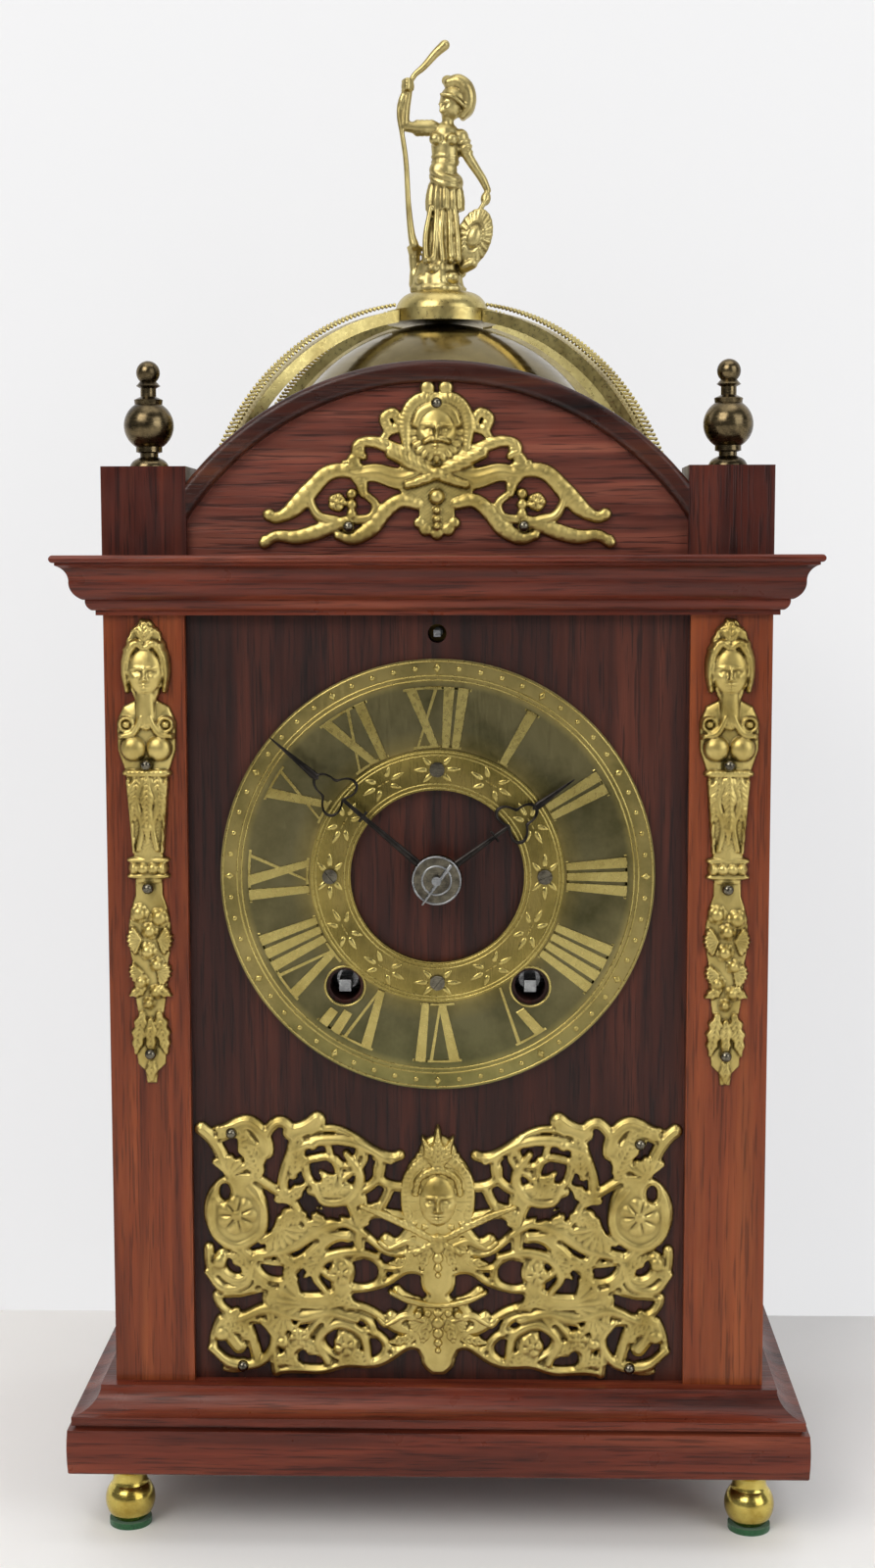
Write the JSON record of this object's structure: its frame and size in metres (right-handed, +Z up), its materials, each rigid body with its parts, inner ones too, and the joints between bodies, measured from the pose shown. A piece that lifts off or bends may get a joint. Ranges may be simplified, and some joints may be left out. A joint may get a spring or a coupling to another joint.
{
  "type": "shelf clock",
  "caption": "Mahogany Dutch-style shelf clock with open bell, brass caryatid and scroll mounts, skeleton chapter ring, striking movement and rise-and-fall regulator.",
  "frame": {"origin": "centre of the bottom of the part's bounding box, on the surface it stands on", "axes": "+Z up, -Y towards the front where the dial is, +X to the right as seen from the front"},
  "size_m": [0.2416, 0.16, 0.4977],
  "materials": {
    "mahogany": "satin",
    "ornament_brass": "satin",
    "dial_brass": "satin",
    "movement_brass": "brushed",
    "dark_brass": "patinated",
    "steel": "satin",
    "spring_steel": "blued",
    "hand_steel": "satin",
    "bell_metal": "polished",
    "felt": "matte"
  },
  "bodies": {
    "case": {"back_frame": "mahogany", "back_plate": "movement_brass", "base_board": "mahogany", "base_mouldings": "mahogany", "bell": "bell_metal", "bell_screw": "steel", "cage_arms": "ornament_brass", "cage_hub": "ornament_brass", "caryatid_mounts": "ornament_brass", "chapter_ring": "dial_brass", "corner_posts": "mahogany", "cornice_mouldings": "mahogany", "dial_inner_ring": "dial_brass", "dial_screws": "steel", "door_hinges": "movement_brass", "feet": "ornament_brass", "felt_pads": "felt", "figure": "ornament_brass", "front_board": "mahogany", "front_plate": "movement_brass", "front_stiles": "mahogany", "lower_fret": "ornament_brass", "mount_pins": "steel", "movement_screws": "steel", "pediment_moulding": "mahogany", "pediment_mount": "ornament_brass", "pediment_panel": "mahogany", "plate_pillars": "steel", "post_finials": "dark_brass", "side_panels": "mahogany", "suspension_cock": "movement_brass", "top_board": "mahogany"},
    "centre": {"centre_arbor": "steel", "minute_hand": "hand_steel", "hand_collet": "steel"},
    "hour": {"hour_wheel": "movement_brass", "hour_hand": "hand_steel"},
    "motion_wheel": {"minute_wheel": "movement_brass"},
    "intermediate": {"intermediate_wheel": "movement_brass"},
    "going_barrel_body": {"going_barrel": "movement_brass", "going_mainspring": "spring_steel"},
    "going_arbor": {"going_winding_arbor": "steel"},
    "going_click_body": {"going_click": "steel"},
    "third": {"third_wheel": "movement_brass"},
    "escape": {"escape_wheel": "steel"},
    "anchor_body": {"anchor": "steel"},
    "rise": {"rise_rack": "steel"},
    "pendulum": {"pendulum_rod": "steel", "pendulum_bob": "movement_brass"},
    "regulator": {"regulator_arbor": "steel"},
    "strike_barrel_body": {"strike_barrel": "movement_brass", "strike_mainspring": "spring_steel"},
    "strike_arbor": {"strike_winding_arbor": "steel"},
    "strike_click_body": {"strike_click": "steel"},
    "pin_wheel_body": {"pin_wheel": "movement_brass"},
    "warning": {"warning_wheel": "movement_brass"},
    "fly_body": {"fly": "movement_brass"},
    "hammer_body": {"hammer": "steel"},
    "back_door_body": {"back_door": "mahogany"},
    "door_button_body": {"door_button": "movement_brass"}
  },
  "joints": [
    {"name": "centre_turn", "type": "hinge", "parent": "case", "child": "centre", "pos_m": [0, 0, 0.22], "axis": [0, 1, 0], "continuous": true},
    {"name": "hour_turn", "type": "hinge", "parent": "case", "child": "hour", "pos_m": [0, 0, 0.22], "axis": [0, 1, 0], "continuous": true},
    {"name": "motion_wheel_turn", "type": "hinge", "parent": "case", "child": "motion_wheel", "pos_m": [0, 0, 0.235], "axis": [0, 1, 0], "continuous": true},
    {"name": "intermediate_turn", "type": "hinge", "parent": "case", "child": "intermediate", "pos_m": [0.02156, 0, 0.21357], "axis": [0, 1, 0], "continuous": true},
    {"name": "going_barrel_turn", "type": "hinge", "parent": "case", "child": "going_barrel_body", "pos_m": [0.03, 0, 0.184], "axis": [0, 1, 0], "continuous": true},
    {"name": "third_turn", "type": "hinge", "parent": "case", "child": "third", "pos_m": [0.01024, 0, 0.23773], "axis": [0, 1, 0], "continuous": true},
    {"name": "escape_turn", "type": "hinge", "parent": "case", "child": "escape", "pos_m": [0, 0, 0.25278], "axis": [0, 1, 0], "continuous": true},
    {"name": "going_winding", "type": "hinge", "parent": "case", "child": "going_arbor", "pos_m": [0.03, 0, 0.184], "axis": [0, 1, 0], "range_deg": [0, 1800]},
    {"name": "going_click_lift", "type": "hinge", "parent": "case", "child": "going_click_body", "pos_m": [0.04302, 0, 0.17307], "axis": [0, 1, 0], "range_deg": [0, 12]},
    {"name": "anchor_rock", "type": "hinge", "parent": "case", "child": "anchor_body", "pos_m": [0, 0, 0.27168], "axis": [0, 1, 0], "range_deg": [-4, 4]},
    {"name": "rise_slide", "type": "slide", "parent": "case", "child": "rise", "axis": [0, 0, 1], "range_m": [-0.002, 0.002]},
    {"name": "pendulum_swing", "type": "hinge", "parent": "rise", "child": "pendulum", "pos_m": [0, 0.02, 0.27168], "axis": [0, 1, 0], "range_deg": [-4, 4]},
    {"name": "regulator_turn", "type": "hinge", "parent": "case", "child": "regulator", "pos_m": [0, 0, 0.298], "axis": [0, 1, 0], "range_deg": [-60, 60]},
    {"name": "pin_wheel_turn", "type": "hinge", "parent": "case", "child": "pin_wheel_body", "pos_m": [-0.02156, 0, 0.21357], "axis": [0, 1, 0], "continuous": true},
    {"name": "strike_barrel_turn", "type": "hinge", "parent": "case", "child": "strike_barrel_body", "pos_m": [-0.03, 0, 0.184], "axis": [0, 1, 0], "continuous": true},
    {"name": "warning_turn", "type": "hinge", "parent": "case", "child": "warning", "pos_m": [-0.02469, 0, 0.2313], "axis": [0, 1, 0], "continuous": true},
    {"name": "fly_turn", "type": "hinge", "parent": "case", "child": "fly_body", "pos_m": [-0.01681, 0, 0.24494], "axis": [0, 1, 0], "continuous": true},
    {"name": "strike_winding", "type": "hinge", "parent": "case", "child": "strike_arbor", "pos_m": [-0.03, 0, 0.184], "axis": [0, 1, 0], "range_deg": [-1800, 0]},
    {"name": "strike_click_lift", "type": "hinge", "parent": "case", "child": "strike_click_body", "pos_m": [-0.04302, 0, 0.17307], "axis": [0, 1, 0], "range_deg": [-12, 0]},
    {"name": "hammer_swing", "type": "hinge", "parent": "case", "child": "hammer_body", "pos_m": [-0.043, 0, 0.225], "axis": [0, 1, 0], "range_deg": [0, 8]},
    {"name": "back_door_swing", "type": "hinge", "parent": "case", "child": "back_door_body", "pos_m": [0.0681, 0.0715, 0.1775], "axis": [0, 0, -1], "range_deg": [0, 90]},
    {"name": "door_button_turn", "type": "hinge", "parent": "back_door_body", "child": "door_button_body", "pos_m": [-0.06, 0.0795, 0.17775], "axis": [0, -1, 0], "range_deg": [0, 90]}
  ],
  "couplings": [
    {"joint": "hour_turn", "follows": "centre_turn", "ratio": 0.083333},
    {"joint": "motion_wheel_turn", "follows": "centre_turn", "ratio": -0.33333},
    {"joint": "intermediate_turn", "follows": "centre_turn", "ratio": -0.2},
    {"joint": "going_barrel_turn", "follows": "centre_turn", "ratio": 0.027778},
    {"joint": "third_turn", "follows": "centre_turn", "ratio": -12},
    {"joint": "escape_turn", "follows": "centre_turn", "ratio": 144},
    {"joint": "anchor_rock", "follows": "pendulum_swing", "ratio": 1},
    {"joint": "regulator_turn", "follows": "rise_slide", "rad_per_m": -400},
    {"joint": "strike_barrel_turn", "follows": "pin_wheel_turn", "ratio": -0.13889},
    {"joint": "warning_turn", "follows": "pin_wheel_turn", "ratio": -8},
    {"joint": "fly_turn", "follows": "pin_wheel_turn", "ratio": 64}
  ]
}
